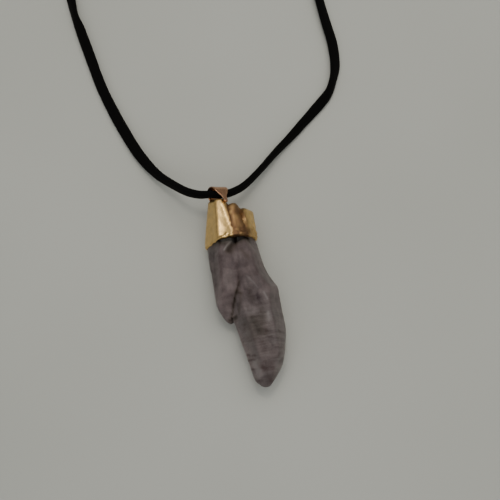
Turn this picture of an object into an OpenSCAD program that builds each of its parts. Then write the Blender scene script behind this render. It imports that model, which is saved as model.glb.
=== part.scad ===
// Necklace: a raw twin quartz point with a gold plated cap, a pinch bail, and a flat black lace
// that closes behind the neck with a small barrel. It lies on a table, on z = 0.
// +Y runs along the crystal from its tip to the bail, and +X is to the right seen from above.

/* [Cap] */
// Thickness of the plated metal shell over the crystal's root
cap_wall = 0.4; // [0.3:0.05:0.6]
// Gap between the crystal and the shell
cap_gap = 0.06; // [0.04:0.02:0.1]
// Height of the shell's rim along the crystal, at the middle of its side
rim_y = 11.4; // [10.5:0.25:12.5]
// Forward slope of the rim: it climbs towards the top face
rim_slope = 5; // [0:1:12]

/* [Bail] */
// Width of the leaf-shaped strip at its fold
bail_w = 4.2; // [4:0.1:5]
// Thickness of the strip
bail_t = 0.4; // [0.35:0.05:0.6]
// Top of the fold along the crystal's axis
bail_top_y = 26.4; // [26.2:0.1:27]
// Turn of the legs' line above the table
bail_roll = 60; // [58:1:62]
// Diameter of the two prongs
prong_d = 0.8; // [0.6:0.1:0.9]
// Diameter of the hole that the prongs pinch
hole_d = 1.1; // [1:0.1:1.2]

/* [Lace] */
// Width of the flat lace
lace_w = 3; // [2.6:0.1:3.1]
// Thickness of the lace
lace_t = 1.6; // [1.4:0.1:1.7]

/* [Clasp] */
// Outer diameter of the barrel
clasp_d = 5; // [4.6:0.2:6]
// Length of the barrel
clasp_l = 12; // [10:1:13]
// Diameter of the two sockets that hold the lace's ends
socket_d = 3.4; // [3.4:0.1:3.8]
// Depth of each socket
socket_l = 3; // [2.5:0.5:3.5]

/* [Hidden] */
big = 120;
eps = 0.01;

// A crystal is the space inside its flat faces. Its axis runs along Y through its heart [x, z].
// Side faces: [azimuth from +X towards +Z, distance from the axis at y = 0, lean towards the tip]
// End faces: [azimuth, lean, y where the face crosses the axis], with a negative lean at the root
left_heart = [-4.2, 6.3];
left_sides = [
    [90, 4.0, 0], [150, 3.6, -5], [210, 3.6, 4],
    [270, 3.8, 0], [330, 3.6, 2], [30, 3.8, 5]
];
left_ends = [
    [90, 43.5, -6.5], [150, 42, -10.2], [210, 42, -11.7], [270, 38, -12.7], [330, 40, -10], [25, 55, -8.2],
    [0, 60, -8.6], [180, 20, -16.1],
    [180, -15, 27.5], [30, -9, 43], [0, -8.5, 37], [270, -14, 40], [90, -80, 22.7],
    [bail_roll, -25, 31.1], [bail_roll + 180, -25, 23.3]
];

// The cap's underside lies on the table below this crystal
right_heart = [0.9, 5.0 + cap_gap + cap_wall];
right_sides = [
    [76, 4.4, 0], [150, 3.6, 0], [210, 4.0, 0],
    [270, 5.0, 0], [330, 4.8, -6.2], [30, 4.1, -6.2]
];
right_ends = [
    [123, 20, -14], [30, 38, -7], [270, 38, -7], [330, 38, -7],
    [60, -14, 41], [0, -45, 19.9], [180, -63, 20.5], [270, -16, 37]
];

lump_heart = [3.2, 5.8];
lump_sides = [
    [76, 4.3, 3], [150, 2.6, 0], [210, 2.0, 0],
    [270, 4.0, 0], [330, 0.3, 3.6], [30, 0.3, 3.6]
];
lump_ends = [[90, 30, 4], [270, 30, 4], [30, -62, 19.4], [150, -45, 20.5], [0, -35, 21.5], [270, -20, 30]];

lower_heart = [1.95, 5.3];
lower_sides = [
    [90, 5.2, 0], [150, 6.85, 8], [210, 6.85, 8],
    [270, 5.3, 0], [330, 5.3, 0], [30, 5.3, 0]
];
lower_ends = [
    [90, 40, -26.3], [150, 41, -28.6], [210, 41, -28.4], [270, 40, -26.5], [330, 38, -26], [30, 38, -26],
    [0, 14, -37.2], [0, 26, -28.8],
    [30, -34, 6.1], [330, -34, 6.1], [0, -20, 14.5], [90, -40, 6.5], [270, -40, 7], [150, -30, 9], [210, -30, 9]
];

// The bail's prongs share one axis through this point of the left crystal's root
prong_at = [-3.1, 21.6, 7.8];
prong_l = 1.5;
// The fold's inner radius, and where the straight legs end: [half spread, height]
fold_r = 2.15;
leg_foot = [3.55, 20.9];
// Half width of the leaf, as a share of the fold's: [y, share]
leaf = [[27, 0.9], [26, 1], [25, 0.97], [24, 0.78], [23, 0.48], [22.2, 0.32], [21.5, 0.28], [21, 0.12]];

// The lace's route, from one end of the barrel round to the other: [x, y, z, roll]
// A roll of 0 lies flat, and 90 stands on its edge
clasp_y = 207;
clasp_z = clasp_d / 2;
end_x = clasp_l / 2 - socket_l + 0.2;
route = [
    [-end_x, clasp_y, clasp_z, 0],
    [-9, clasp_y - 0.5, 2.4, 0],
    [-16, 202, 1.1, 0],
    [-24, 194, 1, 5],
    [-30, 182, 1, 5],
    [-33.5, 168, 1, 5],
    [-35, 152, 0.9, 0],
    [-35.5, 134, 0.9, 0],
    [-35.5, 117, 1, 5],
    [-34.5, 102, 1.2, 25],
    [-34, 92, 1.4, 40],
    [-33.5, 85, 1.6, 66],
    [-32.5, 80, 1.5, 40],
    [-31, 72, 1.3, 30],
    [-29, 62, 1.3, 36],
    [-26, 52, 1.2, 24],
    [-22, 41.5, 1.7, 34],
    [-18, 34.5, 2.9, 64],
    [-14, 29.9, 4.9, 78],
    [-11, 26.8, 7.2, 80],
    [-8, 25, 8.4, 85],
    [-5, 24.4, 8.6, 90],
    [-2, 24.3, 7.5, 90],
    [1, 25, 6, 88],
    [4.5, 26.8, 4.6, 90],
    [9.5, 31, 3, 92],
    [14, 35, 2.3, 86],
    [19, 39, 1.8, 74],
    [24, 43.2, 1.6, 62],
    [28.5, 47, 1.5, 46],
    [31.5, 49.8, 1.6, 62],
    [33.5, 53.5, 1.6, 68],
    [35, 58, 1.4, 40],
    [35.5, 64.5, 1.3, 30],
    [35, 71, 1.3, 34],
    [34.5, 79, 1.4, 40],
    [34, 93, 1.1, 15],
    [34.5, 110, 0.9, 0],
    [35, 128, 0.9, 0],
    [35, 147, 0.9, 0],
    [34, 165, 1, 5],
    [30.5, 181, 1, 5],
    [24, 194, 1, 5],
    [16, 202, 1.1, 0],
    [9, clasp_y - 0.5, 2.4, 0],
    [end_x, clasp_y, clasp_z, 0]
];
ring_steps = 2;

function unit(v) = v / norm(v);

// Point and roll at s spans along the route, on a smooth curve through its rows
function near_row(i) = route[max(0, min(len(route) - 1, i))];
function along(s) =
    let (
        i = min(floor(s), len(route) - 2),
        t = s - i,
        a = near_row(i - 1),
        b = near_row(i),
        c = near_row(i + 1),
        d = near_row(i + 2)
    )
    0.5 * (2 * b + (c - a) * t + (2 * a - 5 * b + 4 * c - d) * t * t + (3 * b - a - 3 * c + d) * t * t * t);

// Eight corners of the lace's section: two round edges joined by the flats
round_r = lace_t / 2 / cos(22.5);
flat_half = (lace_w - 2 * round_r * cos(22.5)) / 2;
section = [
    for (side = [0, 180], a = [-67.5, -22.5, 22.5, 67.5])
    [flat_half * cos(side) + round_r * cos(side + a), round_r * sin(side + a)]
];

function xyz(row) = [row[0], row[1], row[2]];
function ring(s) =
    let (
        here = along(s),
        tangent = unit(xyz(along(s + 0.05)) - xyz(along(s - 0.05))),
        level = unit(cross([0, 0, 1], tangent)),
        up = cross(tangent, level),
        wide = level * cos(here[3]) + up * sin(here[3]),
        thin = cross(tangent, wide)
    )
    [for (p = section) xyz(here) + wide * p[0] + thin * p[1]];

// The inner side of one flat face
module inside_face(heart, y, azimuth, lean, distance)
    translate([heart[0], y, heart[1]])
        rotate([0, -azimuth, 0])
            rotate([0, 0, -lean])
                translate([distance - big / 2, 0, 0])
                    cube(big, center = true);

// One crystal, with every face moved outwards by grow
module facets(heart, sides, ends, grow)
    intersection() {
        intersection_for (f = sides) inside_face(heart, 0, f[0], f[2], f[1] + grow);
        intersection_for (f = ends) inside_face(heart, f[2], f[0], f[1], grow);
    }

module root_crystals(grow) {
    facets(left_heart, left_sides, left_ends, grow);
    facets(right_heart, right_sides, right_ends, grow);
    facets(lump_heart, lump_sides, lump_ends, grow);
}

// Turns the Z axis to the line of the prongs, at the point where they meet it
module on_prong_axis()
    translate(prong_at)
        rotate([0, 90 - bail_roll, 0])
            children();

module prong_hole()
    on_prong_axis() cylinder(d = hole_d, h = 12, center = true, $fn = 32);

module crystal()
    color([0.62, 0.57, 0.6, 0.75])
        difference() {
            union() {
                root_crystals(0);
                facets(lower_heart, lower_sides, lower_ends, 0);
            }
            prong_hole();
        }

module cap()
    color("goldenrod")
        difference() {
            intersection() {
                root_crystals(cap_gap + cap_wall);
                translate([0, rim_y, left_heart[1]])
                    rotate([-rim_slope, 0, 0])
                        translate([0, big / 2, 0])
                            cube(big, center = true);
            }
            root_crystals(cap_gap);
            prong_hole();
        }

// The strip's path seen along the opening: a round fold on two spread legs
module fold_outline(extra)
    hull() {
        translate([0, bail_top_y - bail_t - fold_r]) circle(r = fold_r + extra, $fn = 36);
        for (side = [-1, 1]) translate([side * (leg_foot[0] + extra), leg_foot[1]]) square(eps, center = true);
    }

module leaf_outline()
    polygon([
        for (row = leaf) [row[1] * bail_w / 2, row[0]],
        for (i = [len(leaf) - 1 : -1 : 0]) [-leaf[i][1] * bail_w / 2, leaf[i][0]]
    ]);

// Drawn with the opening along X, then turned so that the legs' line meets the prong holes
module bail()
    color("peru")
        translate([prong_at[0], 0, prong_at[2]])
            rotate([0, 90 - bail_roll, 0]) {
                intersection() {
                    rotate([0, -90, 0])
                        linear_extrude(bail_w + 1, center = true)
                            difference() {
                                fold_outline(bail_t);
                                fold_outline(0);
                                translate([-5, leg_foot[1] - 1]) square([10, 1]);
                            }
                    linear_extrude(12, center = true) leaf_outline();
                }
                for (side = [-1, 1])
                    translate([0, prong_at[1], side * (leg_foot[0] - prong_l / 2)])
                        cylinder(d = prong_d, h = prong_l, center = true, $fn = 24);
            }

module lace() {
    rings = ring_steps * (len(route) - 1) + 1;
    corners = len(section);
    points = [for (i = [0 : rings - 1]) each ring(i / ring_steps)];
    sides = [
        for (i = [0 : rings - 2], j = [0 : corners - 1])
        let (a = i * corners + j, b = i * corners + (j + 1) % corners)
        each [[a, a + corners, b], [b, a + corners, b + corners]]
    ];
    first = [for (j = [0 : corners - 1]) j];
    last = [for (j = [corners - 1 : -1 : 0]) (rings - 1) * corners + j];
    color([0.1, 0.1, 0.11])
        polyhedron(points, concat(sides, [first, last]), convexity = 6);
}

module clasp()
    color("gold")
        translate([0, clasp_y, clasp_z])
            rotate([0, 90, 0])
                difference() {
                    cylinder(d = clasp_d, h = clasp_l, center = true, $fn = 48);
                    for (side = [-1, 1])
                        translate([0, 0, side * (clasp_l / 2 - socket_l / 2 + eps)])
                            cylinder(d = socket_d, h = socket_l + 2 * eps, center = true, $fn = 48);
                }

crystal();
cap();
bail();
lace();
clasp();
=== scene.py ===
# %% [markdown]
# # A raw quartz necklace on a pale table
# The object is a rough twin point of quartz, capped at its root with plated gold, that hangs by a folded
# metal leaf from a flat black suede lace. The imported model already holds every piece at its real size, so
# this lesson only dresses it: each hard piece is worked out again as a fine surface in the same place, with
# the soft edges, growth lines and plating ripples that the plain solids leave out.

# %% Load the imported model
import math

import bpy
import numpy as np
from mathutils import Matrix, Vector


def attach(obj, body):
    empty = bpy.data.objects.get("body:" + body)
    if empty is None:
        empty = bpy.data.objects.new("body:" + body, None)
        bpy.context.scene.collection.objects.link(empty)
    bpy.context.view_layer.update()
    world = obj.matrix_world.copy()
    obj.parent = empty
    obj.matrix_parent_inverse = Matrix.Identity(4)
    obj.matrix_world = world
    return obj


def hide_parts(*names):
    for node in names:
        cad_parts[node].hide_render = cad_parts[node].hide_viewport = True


MM = 0.001
NOISE_CELLS = 32
CREASE_ANGLE = math.radians(50)
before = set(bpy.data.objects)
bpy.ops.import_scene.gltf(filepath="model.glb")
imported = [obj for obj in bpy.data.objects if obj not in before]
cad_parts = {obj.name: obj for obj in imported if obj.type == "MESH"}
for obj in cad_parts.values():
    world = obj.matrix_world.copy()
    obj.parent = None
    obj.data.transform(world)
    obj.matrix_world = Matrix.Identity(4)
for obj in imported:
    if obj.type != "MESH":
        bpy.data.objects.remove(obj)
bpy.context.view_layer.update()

# %% [markdown]
# ## Small helpers
# Blender's shaders want linear colour, while a colour given here is sRGB, so one function turns the hex
# values. A second one adds a shader node with its settings and links. Pieces are arrays of points in
# millimetres, and a third function turns them into a mesh in metres. Smooth noise makes them uneven.


# %% Colour, nodes and meshes
def to_linear(hex_colour):
    """sRGB to linear: c / 12.92 near black, and ((c + 0.055) / 1.055) to the power 2.4 above it."""
    c = np.array([int(hex_colour[i : i + 2], 16) for i in (1, 3, 5)]) / 255
    linear = np.where(c > 0.04045, ((c + 0.055) / 1.055) ** 2.4, c / 12.92)
    return (*linear.tolist(), 1.0)


def add_node(tree, kind, settings=None, links=None):
    """Adds a node, sets its properties and plain sockets by name or number, and joins sockets to it."""
    node = tree.nodes.new(kind)
    for name, value in (settings or {}).items():
        if isinstance(name, int) or name in node.inputs:
            node.inputs[name].default_value = value
        else:
            setattr(node, name, value)
    for name, source in (links or {}).items():
        tree.links.new(source, node.inputs[name])
    return node


def start_material(name, settings):
    """A new material, its Principled shader set, and a socket of object coordinates in millimetres."""
    material = bpy.data.materials.new(name)
    material.use_nodes = True
    tree = material.node_tree
    shader = tree.nodes["Principled BSDF"]
    for socket, value in settings.items():
        shader.inputs[socket].default_value = value
    coordinates = add_node(tree, "ShaderNodeTexCoord")
    in_mm = add_node(
        tree,
        "ShaderNodeVectorMath",
        {"operation": "SCALE", "Scale": 1 / MM},
        {0: coordinates.outputs["Object"]},
    )
    return material, tree, shader, in_mm.outputs["Vector"]


def make_piece(name, points, faces, material, crease_angle=35):
    """Makes an object from points in mm and lists of corner numbers, smooth but for its creases."""
    mesh = bpy.data.meshes.new(name)
    mesh.from_pydata((points * MM).tolist(), [], faces)
    mesh.validate()
    mesh.shade_smooth()
    mesh.set_sharp_from_angle(angle=math.radians(crease_angle))
    mesh.materials.append(material)
    piece = bpy.data.objects.new(name, mesh)
    bpy.context.scene.collection.objects.link(piece)
    return piece


def tube_faces(rings, corners):
    """Quads between neighbouring rings, then one many-sided face over each end."""
    i, j = np.meshgrid(np.arange(rings - 1), np.arange(corners), indexing="ij")
    here = i * corners + j
    beside = i * corners + (j + 1) % corners
    quads = np.stack([here, beside, beside + corners, here + corners], -1).reshape(-1, 4)
    last = (rings - 1) * corners
    ends = [list(range(corners))[::-1], list(range(last, last + corners))]
    return quads.tolist() + ends


def value_noise(points, size, seed):
    """Random numbers on cells size mm wide, blended by 3t^2 - 2t^3 along each axis, from -1 to 1."""
    table = np.random.default_rng(seed).uniform(-1, 1, (NOISE_CELLS,) * 3)
    scaled = points / size
    cell = np.floor(scaled).astype(int)
    t = scaled - cell
    t = t * t * (3 - 2 * t)
    total = np.zeros(points.shape[:-1])
    for corner in np.ndindex(2, 2, 2):
        weight = np.prod(np.where(corner, t, 1 - t), axis=-1)
        x, y, z = np.moveaxis((cell + corner) % NOISE_CELLS, -1, 0)
        total = total + weight * table[x, y, z]
    return total


def count_triangles(piece):
    """An n-sided face becomes n - 2 triangles."""
    return sum(len(face.vertices) - 2 for face in piece.data.polygons)


def rod_points(centre, along, profile, corners):
    """Turns a profile of [distance along, radius] rows round the line through centre."""
    side = np.cross(along, [0, 1, 0])
    side = side / np.linalg.norm(side)
    other = np.cross(along, side)
    angle = np.linspace(0, 2 * np.pi, corners, endpoint=False)[:, None]
    circle = np.cos(angle) * side + np.sin(angle) * other
    profile = np.array(profile, dtype=float)
    return centre + profile[:, None, :1] * along + profile[:, None, 1:] * circle


# %% [markdown]
# ## Camera
# The photo looks down at the table from 75 degrees, a little from the left of the stone's axis, as a phone
# held over it would. 131 mm of the table fill the picture's width at the distance of 250 mm.

# %% Place the camera
VIEW_AZIMUTH = math.radians(-10)
VIEW_ELEVATION = math.radians(75)
VIEW_DISTANCE = 250
VIEW_WIDTH = 131
SENSOR_WIDTH = 36
VIEW_TARGET = np.array([2.884, 10.386, 0.0])

back = np.array(
    [
        math.sin(VIEW_AZIMUTH) * math.cos(VIEW_ELEVATION),
        -math.cos(VIEW_AZIMUTH) * math.cos(VIEW_ELEVATION),
        math.sin(VIEW_ELEVATION),
    ]
)
right = np.array([math.cos(VIEW_AZIMUTH), math.sin(VIEW_AZIMUTH), 0.0])
up = np.cross(back, right)
eye = (VIEW_TARGET + back * VIEW_DISTANCE) * MM
camera = bpy.data.objects.new("camera", bpy.data.cameras.new("camera"))
bpy.context.scene.collection.objects.link(camera)
camera.data.sensor_width = SENSOR_WIDTH
camera.data.lens = SENSOR_WIDTH * VIEW_DISTANCE / VIEW_WIDTH
camera.data.clip_start = 0.01
turn = Matrix(np.stack([right, up, back], axis=1).tolist()).to_4x4()
camera.matrix_world = Matrix.Translation(eye) @ turn
bpy.context.scene.camera = camera
print("camera at", eye.round(4), "lens", round(camera.data.lens, 1))

# %% [markdown]
# ## Suede lace
# A suede lace is a flat strip 3 mm wide, cut from a matte napped sheet, that twists a little wherever it
# bends. The way here is a profile carried along a path: the route's rows are the same round points that
# the solid model uses, each with a roll that tips the strip from lying flat (0) to standing on edge (90).

# %% The lace's route
LACE_WIDTH = 3.0
LACE_THICKNESS = 1.6
BARREL_Y = 207
BARREL_Z = 2.5
END_X = 3.2
# Rows: x, y and z in mm, and the roll in degrees
route = np.array(
    [
        (-END_X, BARREL_Y, BARREL_Z, 0),
        (-9, BARREL_Y - 0.5, 2.4, 0),
        (-16, 202, 1.1, 0),
        (-24, 194, 1, 5),
        (-30, 182, 1, 5),
        (-33.5, 168, 1, 5),
        (-35, 152, 0.9, 0),
        (-35.5, 134, 0.9, 0),
        (-35.5, 117, 1, 5),
        (-34.5, 102, 1.2, 25),
        (-34, 92, 1.4, 40),
        (-33.5, 85, 1.6, 66),
        (-32.5, 80, 1.5, 40),
        (-31, 72, 1.3, 30),
        (-29, 62, 1.3, 36),
        (-26, 52, 1.2, 24),
        (-22, 41.5, 1.7, 34),
        (-18, 34.5, 2.9, 64),
        (-14, 29.9, 4.9, 78),
        (-11, 26.8, 7.2, 80),
        (-8, 25, 8.4, 85),
        (-5, 24.4, 8.6, 90),
        (-2, 24.3, 7.5, 90),
        (1, 25, 6, 88),
        (4.5, 26.8, 4.6, 90),
        (9.5, 31, 3, 92),
        (14, 35, 2.3, 86),
        (19, 39, 1.8, 74),
        (24, 43.2, 1.6, 62),
        (28.5, 47, 1.5, 46),
        (31.5, 49.8, 1.6, 62),
        (33.5, 53.5, 1.6, 68),
        (35, 58, 1.4, 40),
        (35.5, 64.5, 1.3, 30),
        (35, 71, 1.3, 34),
        (34.5, 79, 1.4, 40),
        (34, 93, 1.1, 15),
        (34.5, 110, 0.9, 0),
        (35, 128, 0.9, 0),
        (35, 147, 0.9, 0),
        (34, 165, 1, 5),
        (30.5, 181, 1, 5),
        (24, 194, 1, 5),
        (16, 202, 1.1, 0),
        (9, BARREL_Y - 0.5, 2.4, 0),
        (END_X, BARREL_Y, BARREL_Z, 0),
    ]
)


def smooth_curve(rows, steps):
    """Joins the rows: 0.5 * (2b + (c - a)t + (2a - 5b + 4c - d)t^2 + (3b - a - 3c + d)t^3) on each span."""
    padded = np.vstack([rows[:1], rows, rows[-1:]])
    s = np.linspace(0, len(rows) - 1, steps * (len(rows) - 1) + 1)
    span = np.minimum(s.astype(int), len(rows) - 2)
    t = (s - span)[:, None]
    a, b, c, d = (padded[span + k] for k in range(4))
    return 0.5 * (
        2 * b + (c - a) * t + (2 * a - 5 * b + 4 * c - d) * t**2 + (3 * b - a - 3 * c + d) * t**3
    )


def even_steps(rows, spacing):
    """The same curve with its points every spacing mm of its own length."""
    gaps = np.linalg.norm(np.diff(rows[:, :3], axis=0), axis=1)
    length = np.concatenate([[0], np.cumsum(gaps)])
    at = np.linspace(0, length[-1], round(length[-1] / spacing) + 1)
    return np.stack([np.interp(at, length, column) for column in rows.T], -1), length[-1]


def lace_sides(path):
    """Level is Z x tangent, up is tangent x level, and the roll turns the wide side from level to up."""
    tangent = np.gradient(path[:, :3], axis=0)
    tangent /= np.linalg.norm(tangent, axis=1, keepdims=True)
    level = np.cross([0, 0, 1], tangent)
    level /= np.linalg.norm(level, axis=1, keepdims=True)
    up_side = np.cross(tangent, level)
    roll = np.radians(path[:, 3:4])
    wide = level * np.cos(roll) + up_side * np.sin(roll)
    return wide, np.cross(tangent, wide)


lace_path, lace_length = even_steps(smooth_curve(route, steps=12), spacing=0.4)
print("lace length", round(lace_length, 1), "mm in", len(lace_path), "rings")


# %% Black suede
def make_suede():
    """Split suede dyed black, buffed to a nap: very rough, with a faint sheen where fibres catch light."""
    material, tree, shader, mm = start_material(
        "black_suede",
        {"Roughness": 0.95, "Specular IOR Level": 0.08, "Sheen Weight": 0.04, "Sheen Roughness": 0.5},
    )
    shader.inputs["Sheen Tint"].default_value = to_linear("#8a8480")
    # Real fibres are 0.02 mm thick. Tufts of 0.35 mm are the finest that show here
    fibres = add_node(
        tree, "ShaderNodeTexNoise", {"Scale": 1 / 0.35, "Detail": 6.0, "Roughness": 0.7}, {"Vector": mm}
    )
    nap = add_node(
        tree,
        "ShaderNodeMix",
        {"data_type": "RGBA", 6: to_linear("#020202"), 7: to_linear("#0e0d0c")},
        {0: fibres.outputs["Fac"]},
    )
    tree.links.new(nap.outputs[2], shader.inputs["Base Color"])
    bump = add_node(
        tree,
        "ShaderNodeBump",
        {"Strength": 0.5, "Distance": 0.08 * MM},
        {"Height": fibres.outputs["Fac"]},
    )
    tree.links.new(bump.outputs["Normal"], shader.inputs["Normal"])
    return material


# %% Make the lace
def make_lace(path, corners=24):
    """A rounded box profile, |x/a|^3 + |z/b|^3 = 1, carried along the path and kept above the table. It
    swells and shrinks by 0.03 mm in tufts of 0.7 mm, and by 0.04 mm in waves of 2.5 mm."""
    wide, thin = lace_sides(path)
    angle = np.linspace(0, 2 * np.pi, corners, endpoint=False)
    cosine = np.cos(angle)
    sine = np.sin(angle)
    across = np.sign(cosine) * np.abs(cosine) ** (2 / 3) * LACE_WIDTH / 2
    through = np.sign(sine) * np.abs(sine) ** (2 / 3) * LACE_THICKNESS / 2
    points = (
        path[:, None, :3]
        + wide[:, None] * across[None, :, None]
        + thin[:, None] * through[None, :, None]
    )
    outward = points - path[:, None, :3]
    outward /= np.linalg.norm(outward, axis=-1, keepdims=True)
    wool = 0.03 * value_noise(points, 0.7, 3) + 0.04 * value_noise(points, 2.5, 4)
    points = points + outward * wool[..., None]
    lowest = 0.01
    points[..., 2] = np.maximum(points[..., 2], lowest)
    faces = tube_faces(len(path), corners)
    return make_piece("suede_lace", points.reshape(-1, 3), faces, make_suede(), crease_angle=60)


lace = make_lace(lace_path)
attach(lace, "root")
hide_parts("lace")

# %% [markdown]
# ## Barrel clasp
# The lace's two ends are glued into a small barrel behind the neck. It would be turned from brass rod, so
# it is one profile, out of one socket, along the outside and into the other, spun round its axis.

# %% Turned brass
BARREL_LENGTH = 12.0
BARREL_RADIUS = 2.5
BARREL_LIP = 0.4
SOCKET_DEPTH = 3
TOOL_RINGS = 0.3


def make_turned_brass():
    """Lacquered brass from a lathe: a clear yellow with fine rings left by the tool, 0.3 mm apart. A band
    texture repeats every tau / 20 / scale."""
    material, tree, shader, mm = start_material("turned_brass", {"Metallic": 1.0, "Roughness": 0.25})
    shader.inputs["Base Color"].default_value = to_linear("#d8ad5c")
    rings = add_node(
        tree,
        "ShaderNodeTexWave",
        {
            "wave_type": "BANDS",
            "bands_direction": "X",
            "Scale": math.tau / 20 / TOOL_RINGS,
            "Distortion": 0.4,
        },
        {"Vector": mm},
    )
    bump = add_node(
        tree, "ShaderNodeBump", {"Strength": 0.15, "Distance": 0.01 * MM}, {"Height": rings.outputs["Fac"]}
    )
    tree.links.new(bump.outputs["Normal"], shader.inputs["Normal"])
    return material


# %% Turn the barrel
def make_clasp(corners=64):
    """Half of the profile as [x, radius], then its mirror: a socket, a half round rim and three grooves,
    each 0.08 * (1 + cos t) deep."""
    socket_end = SOCKET_DEPTH - BARREL_LENGTH / 2
    rim_x = BARREL_LIP - BARREL_LENGTH / 2
    rim_radius = BARREL_RADIUS - BARREL_LIP
    t = np.linspace(-np.pi / 2, np.pi / 2, 9)
    rim = np.stack([rim_x - BARREL_LIP * np.cos(t), rim_radius + BARREL_LIP * np.sin(t)], -1)
    t = np.linspace(-np.pi, np.pi, 13)
    groove = np.stack([0.04 * t, BARREL_RADIUS - 0.08 * (1 + np.cos(t))], -1)
    grooves = [groove + (x, 0) for x in (-4.9, -4.4, -3.9)]
    socket = [(socket_end, 0.01), (socket_end, 1.68)]
    middle = [(-3.6, BARREL_RADIUS), (-0.5, BARREL_RADIUS)]
    half = np.vstack([socket, rim, *grooves, middle])
    profile = np.vstack([half, half[::-1] * (-1, 1)])
    points = rod_points(np.array([0, BARREL_Y, BARREL_Z]), np.array([1.0, 0, 0]), profile, corners)
    faces = tube_faces(len(profile), corners)
    return make_piece("barrel_clasp", points.reshape(-1, 3), faces, make_turned_brass())


clasp = make_clasp()
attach(clasp, "root")
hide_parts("clasp")
print("clasp", count_triangles(clasp), "triangles")

# %% [markdown]
# ## Flat-faced crystals
# Quartz grows as six-sided prisms that end in sloping faces, and this stone is three of them grown together
# at the root, with a fourth point grown over their front. A crystal could be cut from cubes, but its edges
# would be razor sharp. Here it is a function instead: the signed distances to all of its faces go through a
# soft maximum, so each edge comes out rounded by a few tenths of a millimetre, as it is on a raw stone.

# %% The faces of each crystal
# The gap under the cap and the cap's wall, in mm, and how far round the stone the prongs' line is turned
CAP_GAP = 0.06
CAP_WALL = 0.4
BAIL_ROLL = 60
# The heart is the axis's x and z, and each face has a row: azimuth from +X towards +Z, lean towards the
# tip, both in degrees, distance from the axis, and the y where that distance is measured
crystals = {
    "left": {
        "heart": (-4.2, 6.3),
        "faces": [
            (90, 0, 4.0, 0),
            (150, -5, 3.6, 0),
            (210, 4, 3.6, 0),
            (270, 0, 3.8, 0),
            (330, 2, 3.6, 0),
            (30, 5, 3.8, 0),
            (90, 43.5, 0, -6.5),
            (150, 42, 0, -10.2),
            (210, 42, 0, -11.7),
            (270, 38, 0, -12.7),
            (330, 40, 0, -10),
            (25, 55, 0, -8.2),
            (0, 60, 0, -8.6),
            (180, 20, 0, -16.1),
            (180, -15, 0, 27.5),
            (30, -9, 0, 43),
            (0, -8.5, 0, 37),
            (270, -14, 0, 40),
            (90, -80, 0, 22.7),
            (BAIL_ROLL, -25, 0, 31.1),
            (BAIL_ROLL + 180, -25, 0, 23.3),
        ],
    },
    "right": {
        "heart": (0.9, 5.0 + CAP_GAP + CAP_WALL),
        "faces": [
            (76, 0, 4.4, 0),
            (150, 0, 3.6, 0),
            (210, 0, 4.0, 0),
            (270, 0, 5.0, 0),
            (330, -6.2, 4.8, 0),
            (30, -6.2, 4.1, 0),
            (123, 20, 0, -14),
            (30, 38, 0, -7),
            (270, 38, 0, -7),
            (330, 38, 0, -7),
            (60, -14, 0, 41),
            (0, -45, 0, 19.9),
            (180, -63, 0, 20.5),
            (270, -16, 0, 37),
        ],
    },
    "lump": {
        "heart": (3.2, 5.8),
        "faces": [
            (76, 3, 4.3, 0),
            (150, 0, 2.6, 0),
            (210, 0, 2.0, 0),
            (270, 0, 4.0, 0),
            (330, 3.6, 0.3, 0),
            (30, 3.6, 0.3, 0),
            (90, 30, 0, 4),
            (270, 30, 0, 4),
            (30, -62, 0, 19.4),
            (150, -45, 0, 20.5),
            (0, -35, 0, 21.5),
            (270, -20, 0, 30),
        ],
    },
    "lower": {
        "heart": (1.95, 5.3),
        "faces": [
            (90, 0, 5.2, 0),
            (150, 8, 6.85, 0),
            (210, 8, 6.85, 0),
            (270, 0, 5.3, 0),
            (330, 0, 5.3, 0),
            (30, 0, 5.3, 0),
            (90, 40, 0, -26.3),
            (150, 41, 0, -28.6),
            (210, 41, 0, -28.4),
            (270, 40, 0, -26.5),
            (330, 38, 0, -26),
            (30, 38, 0, -26),
            (0, 14, 0, -37.2),
            (0, 26, 0, -28.8),
            (30, -34, 0, 6.1),
            (330, -34, 0, 6.1),
            (0, -20, 0, 14.5),
            (90, -40, 0, 6.5),
            (270, -40, 0, 7),
            (150, -30, 0, 9),
            (210, -30, 0, 9),
            (73, -11, 0, 24.5),
        ],
    },
}


def face_planes(crystal):
    """A face looks along n = (cos az cos lean, -sin lean, sin az cos lean), in the plane n . p = offset."""
    rows = np.array(crystal["faces"], dtype=float)
    azimuth = np.radians(rows[:, 0])
    lean = np.radians(rows[:, 1])
    normals = np.stack(
        [np.cos(azimuth) * np.cos(lean), -np.sin(lean), np.sin(azimuth) * np.cos(lean)], -1
    )
    heart_x, heart_z = crystal["heart"]
    anchors = np.stack([np.full(len(rows), heart_x), rows[:, 3], np.full(len(rows), heart_z)], -1)
    return normals, (normals * anchors).sum(-1) + rows[:, 2]


def soft_distance(points, crystal, softness):
    """k * log(sum of exp(s / k)) over the faces' distances s, and the blended direction that points out."""
    normals, offsets = face_planes(crystal)
    s = points @ normals.T - offsets
    top = s.max(-1, keepdims=True)
    share = np.exp((s - top) / softness)
    total = share.sum(-1, keepdims=True)
    outward = (share / total) @ normals
    return (top + softness * np.log(total))[..., 0], outward


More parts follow.
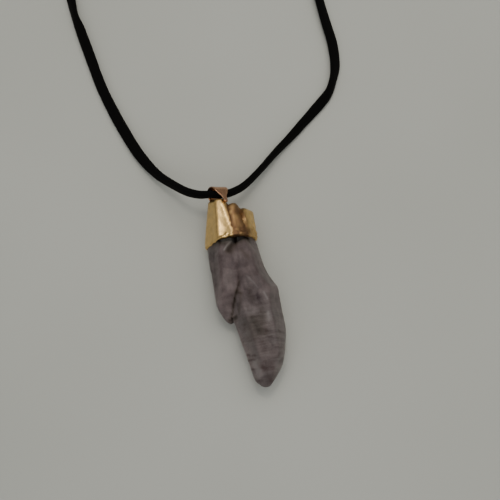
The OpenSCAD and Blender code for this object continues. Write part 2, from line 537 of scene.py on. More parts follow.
def stone_surface(crystal, stretch, rows, columns, softness):
    """Rays leave the axis, level along the stretch and tilting to its line past both ends, and each stops
    where the soft distance is zero, found by Newton's method from the first hard face that it meets."""
    fan_low, middle, fan_high = rows
    steepest = 89
    newton_steps = 12
    tiny = 1e-6
    tilt = np.radians(
        np.concatenate(
            [
                np.linspace(-steepest, 0, fan_low, endpoint=False),
                np.zeros(middle),
                np.linspace(0, steepest, fan_high + 1)[1:],
            ]
        )
    )
    start = np.concatenate(
        [np.full(fan_low, stretch[0]), np.linspace(*stretch, middle), np.full(fan_high, stretch[1])]
    )
    around = np.linspace(0, 2 * np.pi, columns, endpoint=False)
    ray = np.stack(
        [
            np.cos(tilt)[:, None] * np.cos(around),
            np.sin(tilt)[:, None] * np.ones(columns),
            -np.cos(tilt)[:, None] * np.sin(around),
        ],
        -1,
    )
    heart_x, heart_z = crystal["heart"]
    origin = np.stack([np.full(len(start), heart_x), start, np.full(len(start), heart_z)], -1)[:, None]
    normals, offsets = face_planes(crystal)
    towards = ray @ normals.T
    reach = np.where(towards > tiny, (offsets - origin @ normals.T) / np.maximum(towards, tiny), np.inf)
    distance = reach.min(-1)
    for _ in range(newton_steps):
        value, outward = soft_distance(origin + ray * distance[..., None], crystal, softness)
        distance = distance - value / (outward * ray).sum(-1)
    points = origin + ray * distance[..., None]
    outward = soft_distance(points, crystal, softness)[1]
    return points, outward / np.linalg.norm(outward, axis=-1, keepdims=True)


print({name: len(crystal["faces"]) for name, crystal in crystals.items()}, "faces")


# %% [markdown]
# ## Growth lines and union
# The faces of a raw stone aren't mirror flat. Fine growth lines run across its axis, broad hollows and low
# steps wander over them, and small flakes are chipped out. Where two crystals have grown into each other
# for long, the valley between them is healed, and where they only touch, it stays a sharp groove. The four
# then become one skin with a union, because light must not meet walls inside the stone.

# %% Relief, healed valleys and joining
# Pairs of crystals, each with the distance in mm within which they healed together, low down and by the rim
HEALED = {
    ("left", "right"): (1.2, 6.0),
    ("left", "lower"): (0.7, 0.7),
    ("lower", "right"): (3.0, 3.0),
    ("lump", "right"): (1.2, 1.2),
}


def ease(value, start, full):
    """3t^2 - 2t^3, from 0 at start to 1 at full."""
    t = np.clip((value - start) / (full - start), 0, 1)
    return t * t * (3 - 2 * t)


def growth_relief(points, seed, line_height):
    """Growth lines in steps of 0.8 and 0.35 mm along Y, drawn out across it and fading in patches, plus
    broad hollows some 4 mm wide and 0.06 mm deep, and small chips."""
    stretched = points * (0.12, 1, 0.12)
    lines = value_noise(stretched, 0.8, seed) * 0.6 + value_noise(stretched, 0.35, seed + 1) * 0.3
    patches = np.clip(0.45 + 1.6 * value_noise(points, 5.0, seed + 2), 0, 1)
    broad = value_noise(points, 4.2, seed + 3) + 0.4 * value_noise(points, 1.8, seed + 4)
    chips = np.clip(value_noise(points, 1.1, seed + 5) - 0.55, 0, 1)
    return line_height * lines * patches + 0.06 * broad - 0.2 * chips


def healed_growth(points, name):
    """A smooth union's k / 4 * (1 - d / k)^2 outwards, where d is how far off the neighbour's skin is, up
    to k. It fades out towards the cap, which has to fit the bare faces."""
    by_rim = ease(points[..., 1], 2.5, 5.5)
    below_cap = 1 - ease(points[..., 1], 7, 10.8)
    grow = np.zeros(points.shape[:-1])
    for pair, (low, high) in HEALED.items():
        if name in pair:
            k = low + (high - low) * by_rim
            neighbour = crystals[pair[1 - pair.index(name)]]
            away = soft_distance(points, neighbour, softness=0.15)[0]
            grow = grow + k / 4 * np.clip(1 - np.maximum(away, 0) / k, 0, 1) ** 2 * below_cap
    return grow


def combine(base, others, operation):
    """Joins or cuts closed meshes with Boolean modifiers, and keeps the result as the base's mesh."""
    for other in others:
        modifier = base.modifiers.new(operation.lower(), "BOOLEAN")
        modifier.operation = operation
        modifier.solver = "MANIFOLD"
        modifier.object = other
    graph = bpy.context.evaluated_depsgraph_get()
    joined = bpy.data.meshes.new_from_object(base.evaluated_get(graph))
    joined.name = base.name
    base.modifiers.clear()
    base.data = joined
    for other in others:
        bpy.data.objects.remove(other)
    return base


# %% The hole for the bail's prongs
# A point on its axis, the ways along and across it, its diameter, and how far it reaches from the point
roll = math.radians(BAIL_ROLL)
PRONG_POINT = np.array([-3.1, 21.6, 7.8])
PRONG_LINE = np.array([math.cos(roll), 0, math.sin(roll)])
PRONG_SIDE = np.array([math.sin(roll), 0, -math.cos(roll)])
PRONG_HOLE = 1.1
HOLE_REACH = 6


def prong_hole(material):
    """A cylinder through the root along the prongs' line, to be cut out."""
    profile = [(-HOLE_REACH, PRONG_HOLE / 2), (HOLE_REACH, PRONG_HOLE / 2)]
    points = rod_points(PRONG_POINT, PRONG_LINE, profile, corners=32)
    return make_piece("hole", points.reshape(-1, 3), tube_faces(2, 32), material)


# %% [markdown]
# ## Cloudy quartz
# Clear quartz bends light with an index of 1.544. This stone is smoky, so light fades a little on its way
# through: a volume with plain absorption, and not a colour on the skin. It is cloudy too: tiny bubbles and
# healed cracks scatter light back, where the shader mixes a milky body into the glass. Noise alone would
# cloud it evenly. So the stone's own pale bands, dark ends and sealed-in dirt, together with painted facet
# shade, painted shade in its groove and under the cap's rim, and a painted glint on one crack, are marks
# with places in mm, stored at the mesh's points as attributes, and the noise only breaks them up.

# %% Marks inside the stone
# Rows: from x, y to x, y, and half width, all in mm, and strength: paler above 0 and darker below it
# Some bands are painted light and shade: the dark and pale ones down the left point stand in for its
# facets' shade and light, and the dark ones beside the groove and just under the cap's rim are painted
# shade
bands_and_facet_shade = np.array(
    [
        (-3.6, 5.6, -4.8, -1.5, 1.5, 0.05),
        (-6.5, 0.0, -7.1, -4.7, 0.8, 0.5),
        (-7.4, 9.0, -7.9, 1.3, 1.0, -0.3),
        (-5.8, 10.8, -3.7, 10.6, 0.8, -0.3),
        (1.6, 4.8, 1.2, -0.8, 0.8, 0.1),
        (-1.6, 4.5, -1.7, -1.5, 0.5, -0.25),
        (-0.7, 0.3, -0.6, -2.3, 0.5, -0.2),
        (-5.4, -4.0, -4.5, -7.0, 1.0, 0.25),
        (3.9, -3.6, 7.1, -2.1, 1.0, 0.5),
        (2.0, -4.4, 3.4, -6.2, 0.8, -0.15),
        (-0.6, -5.6, 0.6, -7.6, 0.9, 0.2),
        (3.8, -9.3, 4.4, -11.0, 0.8, 0.2),
        (1.6, -3.0, 2.2, -18.0, 2.0, -0.25),
        (0.7, -21.9, 1.7, -24.6, 0.9, -0.35),
        (3.9, -22.0, 5.0, -23.4, 0.8, 0.35),
        (-1.2, -20.2, -0.7, -23.4, 0.7, 0.5),
        (-2.8, -17.7, -1.0, -18.5, 0.25, -0.5),
        (-2.8, -18.9, -1.1, -19.5, 0.25, -0.5),
        (-2.4, -21.2, -1.0, -21.7, 0.25, -0.4),
        (-2.0, -24.3, -0.3, -24.7, 0.3, -0.4),
        (2.7, -13.3, 7.2, -13.9, 0.3, -0.35),
        (3.2, -15.1, 7.0, -15.9, 0.25, -0.3),
        (3.4, -17.2, 6.6, -18.2, 0.25, -0.3),
    ]
)
# Pale cracks and veils, the first of them a painted glint off a crack, then sealed-in dirt mixed with
# painted shade
cracks_and_glint = np.array(
    [
        (-1.8, 10.9, -4.0, 8.9, 0.22, 0.6),
        (0.3, 1.3, 2.7, -2.3, 0.22, 0.2),
        (3.9, -3.6, 4.6, -5.3, 0.22, 0.4),
        (4.1, -8.5, 3.7, -10.7, 0.35, 0.35),
        (-1.2, -19.8, -0.9, -22.3, 0.5, 0.3),
        (4.6, -20.5, 6.3, -19.4, 0.3, 0.4),
        (3.1, -24.8, 5.6, -21.2, 0.2, 0.3),
        (-3.0, -14.9, -1.2, -15.3, 0.2, 0.3),
        (3.6, -14.4, 6.4, -14.9, 0.2, 0.3),
    ]
)
# The first two rows are painted shade under the cap's rim, the fourth and fifth painted shade down the
# groove to the left point's tip, and the sixth darkens a line below that tip; the other rows are dirt
# sealed in
dirt_and_shade = np.array(
    [
        (-5.6, 11.7, 2.0, 11.4, 1.0, 1.3),
        (-0.7, 10.8, -3.0, 8.4, 0.9, 0.8),
        (0.1, 7.7, 1.8, 6.2, 0.6, 0.3),
        (-1.9, 0.5, -1.8, -3.0, 0.25, 0.2),
        (-1.8, -3.0, -2.9, -7.2, 0.35, 0.3),
        (-5.5, -8.2, -4.0, -8.1, 0.5, 0.8),
        (0.6, -2.8, 0.8, -4.8, 0.7, 0.15),
        (2.4, -7.4, 2.8, -9.0, 0.8, 0.15),
        (0.2, -10.2, 0.8, -12.9, 1.0, 0.65),
        (2.1, -9.6, 2.0, -13.6, 0.9, 0.35),
        (-1.6, -9.6, -0.8, -14.4, 1.0, 0.3),
    ]
)


def add_marks(points, rows):
    """The sum of strength * exp(-(d / width)^2), where d is the distance in x, y to each row's line, which
    wavers by up to half a millimetre."""
    wobble = np.stack([value_noise(points, 1.5, 62), value_noise(points, 1.5, 63)], -1)
    total = np.zeros(points.shape[:-1])
    for x1, y1, x2, y2, width, strength in rows:
        place = points[..., :2] + min(0.5, 0.6 * width) * wobble
        line = np.array([x2 - x1, y2 - y1])
        t = np.clip(((place - (x1, y1)) @ line) / (line @ line), 0, 1)
        distance = np.linalg.norm(place - (x1, y1) - t[..., None] * line, axis=-1)
        total = total + strength * np.exp(-((distance / width) ** 2))
    return total


# %% Quartz material
def make_quartz():
    """Raw smoky quartz: etched satin faces, a patchy milky body, a clearer tip, and creases darkened by
    painted shade. The finely pitted skin mirrors less than polished quartz does, so its reflection is
    tinted grey."""
    # The transmission set here is for readers that don't follow the node linked to it
    material, tree, shader, mm = start_material(
        "smoky_quartz",
        {
            "Roughness": 0.3,
            "IOR": 1.544,
            "Specular IOR Level": 0.18,
            "Specular Tint": to_linear("#7a7a7a"),
            "Transmission Weight": 0.7,
        },
    )
    cloud = add_node(
        tree, "ShaderNodeTexNoise", {"Scale": 1 / 2.0, "Detail": 6.0, "Roughness": 0.7}, {"Vector": mm}
    )
    # Veils of bubbles along the axis, some 1.4 mm wide and 5 mm long
    along = add_node(tree, "ShaderNodeMapping", {"Scale": (1 / 1.4, 1 / 5, 1 / 1.4)}, {"Vector": mm})
    veil = add_node(
        tree, "ShaderNodeTexNoise", {"Scale": 1.0, "Detail": 3.0}, {"Vector": along.outputs["Vector"]}
    )
    # Growth lines across the lower crystal, some 0.6 mm apart
    across = add_node(tree, "ShaderNodeMapping", {"Scale": (1 / 5, 1 / 0.6, 1 / 5)}, {"Vector": mm})
    line = add_node(
        tree, "ShaderNodeTexNoise", {"Scale": 1.0, "Detail": 3.0}, {"Vector": across.outputs["Vector"]}
    )
    place = add_node(tree, "ShaderNodeSeparateXYZ", {}, {"Vector": mm})
    towards_tip = add_node(
        tree,
        "ShaderNodeMapRange",
        {"interpolation_type": "SMOOTHSTEP", "From Min": -2.0, "From Max": -14.0},
        {"Value": place.outputs["Y"]},
    )
    grain = add_node(
        tree,
        "ShaderNodeMix",
        {"data_type": "FLOAT"},
        {0: towards_tip.outputs["Result"], 2: veil.outputs["Fac"], 3: line.outputs["Fac"]},
    )
    # Bands, partly painted facet shade, lighten or darken the body
    bands_and_shade_here = add_node(tree, "ShaderNodeAttribute", {"attribute_name": "band_and_shade"})
    marked = add_node(
        tree, "ShaderNodeMath", {"operation": "ADD"}, {0: grain.outputs[0], 1: bands_and_shade_here.outputs["Fac"]}
    )
    tone = add_node(
        tree,
        "ShaderNodeMath",
        {"operation": "MULTIPLY_ADD", 1: 1.5},
        {0: cloud.outputs["Fac"], 2: marked.outputs["Value"]},
    )
    body = add_node(
        tree, "ShaderNodeMapRange", {"From Min": 0.65, "From Max": 1.75}, {"Value": tone.outputs["Value"]}
    )
    milky, glassy = [
        add_node(
            tree,
            "ShaderNodeMix",
            {"data_type": "RGBA", 6: to_linear(dark), 7: to_linear(pale)},
            {0: body.outputs["Result"]},
        )
        for dark, pale in (("#5c4e51", "#bdabaa"), ("#887373", "#f2e6e4"))
    ]
    colour = add_node(
        tree,
        "ShaderNodeMix",
        {"data_type": "RGBA"},
        {0: towards_tip.outputs["Result"], 6: milky.outputs[2], 7: glassy.outputs[2]},
    )
    # Pale cracks and veils; the first crack is a painted glint
    crack_and_glint = add_node(tree, "ShaderNodeAttribute", {"attribute_name": "crack_and_glint"})
    cracked_and_glinting = add_node(
        tree,
        "ShaderNodeMix",
        {"data_type": "RGBA", 7: to_linear("#fdf8f6")},
        {0: crack_and_glint.outputs["Fac"], 6: colour.outputs[2]},
    )
    stain_and_shade = add_node(tree, "ShaderNodeAttribute", {"attribute_name": "stain_and_shade"})
    # Olive where the marks are thin, as sealed-in dirt, and nearly black where they are thick, as painted
    # shade in the groove and under the cap's rim
    stain_and_shade_tone = add_node(
        tree,
        "ShaderNodeMix",
        {"data_type": "RGBA", 6: to_linear("#72603c"), 7: to_linear("#1f1813")},
        {0: stain_and_shade.outputs["Fac"]},
    )
    stained_and_shaded = add_node(
        tree,
        "ShaderNodeMix",
        {"data_type": "RGBA"},
        {0: stain_and_shade.outputs["Fac"], 6: cracked_and_glinting.outputs[2], 7: stain_and_shade_tone.outputs[2]},
    )
    tree.links.new(stained_and_shaded.outputs[2], shader.inputs["Base Color"])
    clear = add_node(
        tree,
        "ShaderNodeMapRange",
        {"To Min": 0.72, "To Max": 0.84},
        {"Value": towards_tip.outputs["Result"]},
    )
    tree.links.new(clear.outputs["Result"], shader.inputs["Transmission Weight"])
    # Etch pits are finer than this: 0.5 mm is as fine as shows
    etch = add_node(
        tree, "ShaderNodeTexNoise", {"Scale": 1 / 0.5, "Detail": 4.0, "Roughness": 0.6}, {"Vector": mm}
    )
    bump = add_node(
        tree, "ShaderNodeBump", {"Strength": 0.5, "Distance": 0.05 * MM}, {"Height": etch.outputs["Fac"]}
    )
    tree.links.new(bump.outputs["Normal"], shader.inputs["Normal"])
    smoke = add_node(
        tree, "ShaderNodeVolumeAbsorption", {"Color": to_linear("#8a7474"), "Density": 75.0}
    )
    tree.links.new(smoke.outputs["Volume"], tree.nodes["Material Output"].inputs["Volume"])
    return material


quartz = make_quartz()


# %% Grow the four crystals and join them
def grow_crystal(name, stretch, rows, columns, softness, seed, line_height=0.03):
    """The stone's surface moved out by its relief and its healed valleys, and flat where it rests."""
    points, outward = stone_surface(crystals[name], stretch, rows, columns, softness)
    grow = growth_relief(points, seed, line_height) + healed_growth(points, name)
    points = points + outward * grow[..., None]
    points[..., 2] = np.maximum(points[..., 2], 0)
    faces = tube_faces(sum(rows), columns)
    return make_piece("point_" + name, points.reshape(-1, 3), faces, quartz, crease_angle=180)


def read_points(piece):
    """A mesh's points in millimetres."""
    flat = np.empty(len(piece.data.vertices) * 3)
    piece.data.vertices.foreach_get("co", flat)
    return flat.reshape(-1, 3) / MM


def store(piece, name, values):
    """Keeps one number at each of the mesh's points, for its material to read by name."""
    layer = piece.data.attributes.new(name, "FLOAT", "POINT")
    layer.data.foreach_set("value", values)


def crease_depth(points, skin, width):
    """exp(-(d / width)^2), where d is how far a point is from the left crystal's skin and from that of the
    rest, whichever is further, varied by 60 %."""
    distance = {
        name: soft_distance(points, crystal, softness=0.1)[0] - skin for name, crystal in crystals.items()
    }
    rest = np.min([distance[name] for name in ("right", "lump", "lower")], axis=0)
    away = np.maximum(np.abs(distance["left"]), np.abs(rest)) * (1 + 0.6 * value_noise(points, 0.7, 61))
    return np.exp(-((away / width) ** 2))


stone = grow_crystal(
    "lower", (-19, 3), rows=(70, 130, 50), columns=170, softness=0.16, seed=11, line_height=0.09
)
neighbours = [
    grow_crystal("left", (-5, 17), rows=(60, 110, 40), columns=120, softness=0.2, seed=21),
    grow_crystal("right", (-3, 15), rows=(30, 90, 40), columns=120, softness=0.2, seed=31),
    grow_crystal("lump", (7, 15), rows=(14, 40, 24), columns=60, softness=0.15, seed=41),
]
combine(stone, neighbours, "UNION")
combine(stone, [prong_hole(quartz)], "DIFFERENCE")
stone.name = "quartz_stone"
stone_points = read_points(stone)
# Painted shade lies in the groove between the points, and little of it where they healed, from y 4 up
crease = crease_depth(stone_points, skin=0, width=0.4) * (1 - 0.85 * ease(stone_points[:, 1], -2, 4))
store(stone, "stain_and_shade", np.clip(crease + add_marks(stone_points, dirt_and_shade), 0, 1))
store(stone, "crack_and_glint", add_marks(stone_points, cracks_and_glint))
store(stone, "band_and_shade", add_marks(stone_points, bands_and_facet_shade))
stone.data.set_sharp_from_angle(angle=CREASE_ANGLE)
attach(stone, "root")
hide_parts("crystal")
print("stone", count_triangles(stone), "triangles")


# %% [markdown]
# ## Plated cap
# The root is dipped in metal: copper grows over the stone from a bath, and a thin layer of gold goes over
# it. So the cap has every face of the stone under it, with rounded edges, a wandering rim, and small beads
# where the metal grew fastest, along the rim and in the creases. A solidified copy of the stone would have
# the same wall everywhere. Here the wall is a function of the place, added to the stone's own surface, and
# the stone grown by a hair's gap is cut out of the inside.

# %% How thick the plating is
# The rim is at RIM_Y on the height RIM_Z
RIM_Y = 11.4
RIM_Z = 6.3
RIM_SLOPE = math.radians(5)
RIM_ROUND = 0.3
# How far the metal bridges, in mm, from the left root to the others, and from the right one to the lump
WIDE_FILL = 3.2
NARROW_FILL = 0.9
BEAD_SPREAD = 0.25
# Beads at the rim and in the crease. Rows: x, y and z, and how high each stands out, all in mm
beads = np.array(
    [
        (-4.2, 12.0, 10.3, 0.4),
        (-3.5, 12.1, 10.3, 0.2),
        (-2.8, 12.6, 10.3, 0.3),
        (-2.05, 12.0, 10.2, 0.42),
        (-0.95, 12.3, 9.5, 0.4),
        (0.85, 12.4, 10.0, 0.42),
        (1.5, 12.3, 9.8, 0.25),
    ]
)


def rim_height(points):
    """Height over the rim, which climbs by tan 5 degrees towards the top and wanders by up to 0.25 mm."""
    across = points * (1, 0, 1)
    wander = 0.15 * value_noise(across, 1.1, 51) + 0.1 * value_noise(across, 0.5, 52)
    level = RIM_Y + (points[..., 2] - RIM_Z) * math.tan(RIM_SLOPE)
    return points[..., 1] - level - wander


def plating(points, name):
    """Gap plus wall, rounded to nothing at the rim as a quarter ellipse. The wall has ripples, folds on its
    right side, beads, and filled creases: k / 4 * (1 - d / k)^2, where d is how far off the next root's
    plating is, up to k. Below the rim it dives into the hollow and is cut away, all but a sliver in the
    left tip."""
    height = rim_height(points)
    lip = np.sqrt(1 - (1 - np.clip(height / RIM_ROUND, 0, 1)) ** 2)
    nearest = np.full(points.shape[:-1], np.inf)
    fill = 0
    deepest = -0.5
    for other in ("left", "right", "lump"):
        if other != name:
            k = WIDE_FILL if "left" in (name, other) else NARROW_FILL
            away = np.maximum(soft_distance(points, crystals[other], softness=0.1)[0] - CAP_WALL, 0)
            fill = fill + k / 4 * np.clip(1 - away / k, 0, 1) ** 2
            nearest = np.minimum(nearest, away)
    right_side = ease(points[..., 0], -2, 1)
    ripple = 0.06 * value_noise(points, 1.6, 53) + 0.02 * value_noise(points, 0.6, 54)
    folds = value_noise(points * (1, 0.35, 1), 0.9, 58) + 0.5 * value_noise(points, 0.4, 59)
    wrinkles = 0.13 * folds * right_side
    grains = 0.14 * np.exp(-((nearest / 0.6) ** 2)) * value_noise(points, 0.45, 55)
    away = np.linalg.norm(points[..., None, :] - beads[:, :3], axis=-1)
    bead = (beads[:, 3] * np.exp(-(away**2) / (2 * BEAD_SPREAD**2))).sum(-1)
    wall = CAP_GAP + lip * (CAP_WALL + fill + ripple + wrinkles + grains + bead)
    return np.where(height > 0, wall, np.maximum(CAP_GAP + 2 * height, deepest))


def tarnish_depth(points):
    """Brown in the creases, in patches of 1.2 mm over the root between them, and in a pocket by the rim."""
    crease = crease_depth(points, skin=CAP_GAP + CAP_WALL + 0.3, width=0.5)
    x = points[..., 0] + 0.5 * value_noise(points, 1.2, 56)
    between = ease(x, -1.6, -0.6) * (1 - ease(x, 2.4, 3.4))
    patches = np.clip(0.6 + 0.8 * value_noise(points, 1.2, 57), 0, 1)
    pocket = np.exp(-((np.linalg.norm(points[..., :2] - (2.6, 13.0), axis=-1) / 0.9) ** 2))
    by_rim = np.exp(-((np.linalg.norm(points[..., :2] - (3.4, 12.4), axis=-1) / 1.8) ** 2))
    return np.clip(crease + between * (0.7 + 0.25 * patches) + 0.9 * pocket + 0.35 * by_rim, 0, 1)


# %% Satin gold plate
def make_gold_plate():
    """Gold electroplate on copper, grown and not polished: satin, with soft ripples in its reflections."""
    material, tree, shader, mm = start_material("gold_plate", {"Metallic": 1.0})
    # Swells of 1.4 mm left by the bath, and a grain of 0.6 mm on them
    ripple = add_node(tree, "ShaderNodeTexNoise", {"Scale": 1 / 1.4, "Detail": 3.0}, {"Vector": mm})
    tone = add_node(
        tree,
        "ShaderNodeMix",
        {"data_type": "RGBA", 6: to_linear("#bb9b68"), 7: to_linear("#ffd68a")},
        {0: ripple.outputs["Fac"]},
    )
    tarnish = add_node(tree, "ShaderNodeAttribute", {"attribute_name": "tarnish"})
    aged = add_node(
        tree,
        "ShaderNodeMix",
        {"data_type": "RGBA", 7: to_linear("#7b5d43")},
        {0: tarnish.outputs["Fac"], 6: tone.outputs[2]},
    )
    tree.links.new(aged.outputs[2], shader.inputs["Base Color"])
    grain = add_node(
        tree, "ShaderNodeTexNoise", {"Scale": 1 / 0.6, "Detail": 3.0, "Roughness": 0.6}, {"Vector": mm}
    )
    both = add_node(
        tree,
        "ShaderNodeMath",
        {"operation": "MULTIPLY_ADD", 1: 2.5},
        {0: ripple.outputs["Fac"], 2: grain.outputs["Fac"]},
    )
    bump = add_node(
        tree,
        "ShaderNodeBump",
        {"Strength": 0.5, "Distance": 0.05 * MM},
        {"Height": both.outputs["Value"]},
    )
    tree.links.new(bump.outputs["Normal"], shader.inputs["Normal"])
    rough = add_node(
        tree, "ShaderNodeMapRange", {"To Min": 0.24, "To Max": 0.36}, {"Value": grain.outputs["Fac"]}
    )
    dulled = add_node(
        tree,
        "ShaderNodeMath",
        {"operation": "MULTIPLY_ADD", 1: 0.3},
        {0: tarnish.outputs["Fac"], 2: rough.outputs["Result"]},
    )
    tree.links.new(dulled.outputs["Value"], shader.inputs["Roughness"])
    return material


gold_plate = make_gold_plate()


# %% Plate the root
def plated_root(name, stretch, rows, columns, softness, outer):
    """The stone's surface moved out by the plating, or by the gap alone for the hollow inside."""
    points, outward = stone_surface(crystals[name], stretch, rows, columns, softness)
    grow = plating(points, name) if outer else np.full(points.shape[:-1], CAP_GAP)
    points = points + outward * grow[..., None]
    if outer:
        points[..., 2] = np.maximum(points[..., 2], 0)
    faces = tube_faces(sum(rows), columns)
    return make_piece("root_" + name, points.reshape(-1, 3), faces, gold_plate, crease_angle=180)


def all_roots(outer):
    """The three roots, joined, in close rows from below the rim up."""
    roots = [
        plated_root("left", (7.5, 17), rows=(8, 70, 56), columns=150, softness=0.12, outer=outer),
        plated_root("right", (7.5, 15), rows=(8, 56, 50), columns=150, softness=0.12, outer=outer),
        plated_root("lump", (8.5, 15), rows=(8, 50, 40), columns=90, softness=0.15, outer=outer),
    ]
    return combine(roots[0], roots[1:], "UNION")


cap = combine(all_roots(outer=True), [all_roots(outer=False), prong_hole(gold_plate)], "DIFFERENCE")
cap.name = "gold_cap"
store(cap, "tarnish", tarnish_depth(read_points(cap)))
cap.data.set_sharp_from_angle(angle=CREASE_ANGLE)
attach(cap, "root")
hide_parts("cap")
print("cap", count_triangles(cap), "triangles")

# %% [markdown]
# ## Pinch bail
# The bail is a leaf stamped from thin brass and folded over the lace, with a prong inside each tip that
# pinches the hole through the root. It is a strip carried along the fold: a round arc on two spread legs,
# with the leaf's width at each height and a softly rounded section.

# %% Bail shape
BAIL_WIDTH = 4.2
BAIL_THICKNESS = 0.4
BAIL_TOP = 26.4
FOLD_RADIUS = 2.15
FOLD_Y = BAIL_TOP - BAIL_THICKNESS - FOLD_RADIUS
LEAF_CROWN = 0.1
# Where a leg ends: how far from the middle, and its y
LEG_FOOT = (3.55, 20.9)
# The leaf's width at each y in mm, as a share of its full width
leaf_y = (20.9, 21, 21.5, 22.2, 23, 24, 25, 26, 27)
leaf_share = (0.1, 0.12, 0.26, 0.28, 0.42, 0.72, 0.95, 1, 0.9)
leaf = np.stack([leaf_y, leaf_share], axis=-1)


def fold_path(spacing):
    """Up one straight leg, round the fold's circle that it touches, and down the other: each point as
    [spread, height], and the way out there."""
    away = np.array(LEG_FOOT) - (0, FOLD_Y)
    touch = math.atan2(away[1], away[0]) + math.acos(FOLD_RADIUS / np.linalg.norm(away))
    leg = math.sqrt(away @ away - FOLD_RADIUS**2)
    angle = np.linspace(math.pi - touch, touch, round(FOLD_RADIUS * (math.pi - 2 * touch) / spacing))
    out = np.stack([np.cos(angle), np.sin(angle)], -1)
    fold = out * FOLD_RADIUS + (0, FOLD_Y)
    steps = np.linspace(1, 0, round(leg / spacing), endpoint=False)[:, None]
    start = fold[0] + (np.array([-LEG_FOOT[0], LEG_FOOT[1]]) - fold[0]) * steps
    finish = (fold[-1] + (np.array(LEG_FOOT) - fold[-1]) * steps)[::-1]
    path = np.vstack([start, fold, finish])
    way_out = np.vstack([np.repeat(out[:1], len(start), 0), out, np.repeat(out[-1:], len(finish), 0)])
    return path, way_out


def bail_point(spread, height, along):
    """From the bail's own plane to the model: spread along the prongs' line, and along the opening."""
    centre = PRONG_POINT * (1, 0, 1)
    return centre + spread * PRONG_LINE + height * np.array([0, 1, 0]) + along * PRONG_SIDE


# %% Rose brass
def make_rose_brass():
    """Brass with more copper in it, stamped and tumbled: redder than the cap and a little smoother, worn
    in patches of 1.1 mm."""
    material, tree, shader, mm = start_material("rose_brass", {"Metallic": 1.0, "Roughness": 0.26})
    wear = add_node(
        tree, "ShaderNodeTexNoise", {"Scale": 1 / 1.1, "Detail": 4.0, "Roughness": 0.6}, {"Vector": mm}
    )
    tone = add_node(
        tree,
        "ShaderNodeMix",
        {"data_type": "RGBA", 6: to_linear("#a37355"), 7: to_linear("#e2b591")},
        {0: wear.outputs["Fac"]},
    )
    tree.links.new(tone.outputs[2], shader.inputs["Base Color"])
    bump = add_node(
        tree, "ShaderNodeBump", {"Strength": 0.4, "Distance": 0.03 * MM}, {"Height": wear.outputs["Fac"]}
    )
    tree.links.new(bump.outputs["Normal"], shader.inputs["Normal"])
    return material


rose_brass = make_rose_brass()


# %% Fold the leaf
def make_bail(corners=32):
    """A rounded box section, |x/a|^4 + |z/b|^4 = 1, carried over the fold and crowned in the middle."""
    path, way_out = fold_path(spacing=0.12)
    leaf_curve = smooth_curve(leaf, steps=8)
    half_width = np.interp(path[:, 1], leaf_curve[:, 0], leaf_curve[:, 1]) * BAIL_WIDTH / 2
    angle = np.linspace(0, 2 * np.pi, corners, endpoint=False)
    x = np.sign(np.cos(angle)) * np.abs(np.cos(angle)) ** 0.5
    z = np.sign(np.sin(angle)) * np.abs(np.sin(angle)) ** 0.5
    along = half_width[:, None] * x
    crown = LEAF_CROWN * (x**2 - 1) * (half_width[:, None] / (BAIL_WIDTH / 2))
    through = (1 + z) * BAIL_THICKNESS / 2 + crown
    section = path[:, None] + way_out[:, None] * through[..., None]
    points = bail_point(section[..., :1], section[..., 1:], along[..., None])
    faces = tube_faces(len(path), corners)
    return make_piece("leaf_bail", points.reshape(-1, 3), faces, rose_brass, crease_angle=60)


def make_prong(side, corners=24):
    """A peg of 0.8 mm from a leaf's tip into the root's hole, with a domed end."""
    radius = 0.4
    straight = 1.1
    t = np.linspace(0, np.pi / 2, 8)
    dome = np.stack([straight + radius * np.sin(t), radius * np.cos(t) + 0.01], -1)
    profile = np.vstack([[0, radius], dome])
    foot = bail_point(side * LEG_FOOT[0], PRONG_POINT[1], 0)
    points = rod_points(foot, -side * PRONG_LINE, profile, corners)
    return make_piece("prong", points.reshape(-1, 3), tube_faces(len(profile), corners), rose_brass)


bail = combine(make_bail(), [make_prong(-1), make_prong(1)], "UNION")
bail.data.set_sharp_from_angle(angle=CREASE_ANGLE)
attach(bail, "root")
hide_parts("bail")
print("bail", count_triangles(bail), "triangles")

# %% [markdown]
# ## Table and light
# A plain pale table under a broad ceiling light. A small lamp beside it gives the metal its bright spots,
# a weaker window light comes from the left, and an even grey room fills the shadows.


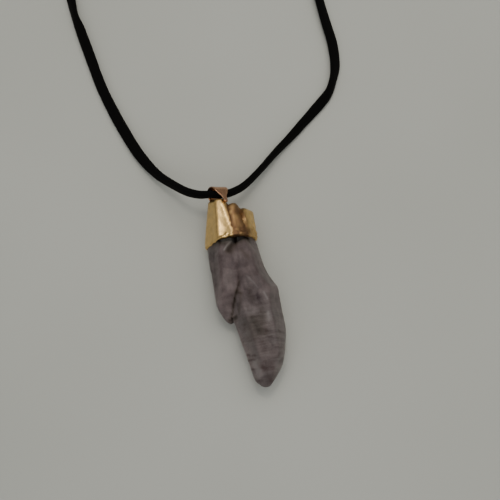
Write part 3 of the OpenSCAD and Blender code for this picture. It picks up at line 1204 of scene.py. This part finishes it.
# %% Table
def make_table():
    """A matte pale laminate, slightly uneven in tone over some 10 cm."""
    material, tree, shader, mm = start_material("pale_table", {"Roughness": 0.55})
    smudge = add_node(tree, "ShaderNodeTexNoise", {"Scale": 1 / 100, "Detail": 2.0}, {"Vector": mm})
    tone = add_node(
        tree,
        "ShaderNodeMix",
        {"data_type": "RGBA", 6: to_linear("#a4a69f"), 7: to_linear("#b6b8b1")},
        {0: smudge.outputs["Fac"]},
    )
    tree.links.new(tone.outputs[2], shader.inputs["Base Color"])
    reach = 600.0
    corners = np.array([(-reach, -reach, 0), (reach, -reach, 0), (reach, reach, 0), (-reach, reach, 0)])
    table = make_piece("table", corners, [[0, 1, 2, 3]], material)


make_table()


# %% Lights
def soft_light(name, place, target, size, power, colour):
    """A square area light of size mm at place, facing target."""
    light = bpy.data.objects.new(name, bpy.data.lights.new(name, "AREA"))
    bpy.context.scene.collection.objects.link(light)
    light.data.size = size * MM
    light.data.energy = power
    light.data.color = to_linear(colour)[:3]
    aim = (Vector(place) - Vector(target)).to_track_quat("Z", "Y")
    light.matrix_world = Matrix.Translation(Vector(place) * MM) @ aim.to_matrix().to_4x4()


soft_light("key", (100, 150, 420), target=(0, 30, 0), size=470, power=0.76, colour="#fffaf2")
soft_light("lamp", (8, 140, 420), target=(0, 15, 0), size=80, power=0.24, colour="#fff6e8")
soft_light("fill", (-220, -230, 300), target=(0, 0, 0), size=300, power=0.25, colour="#f4f7ff")


def make_room():
    """An even grey room, brighter overhead, so that metal has something to mirror."""
    world = bpy.data.worlds.new("room")
    world.use_nodes = True
    tree = world.node_tree
    direction = add_node(tree, "ShaderNodeTexCoord")
    split = add_node(tree, "ShaderNodeSeparateXYZ", {}, {"Vector": direction.outputs["Generated"]})
    height = add_node(
        tree,
        "ShaderNodeMapRange",
        {"interpolation_type": "SMOOTHSTEP", "From Min": 0.2, "To Min": 0.27, "To Max": 0.87},
        {"Value": split.outputs["Z"]},
    )
    background = tree.nodes["Background"]
    background.inputs["Color"].default_value = to_linear("#e6e6e4")
    tree.links.new(height.outputs["Result"], background.inputs["Strength"])
    bpy.context.scene.world = world


make_room()
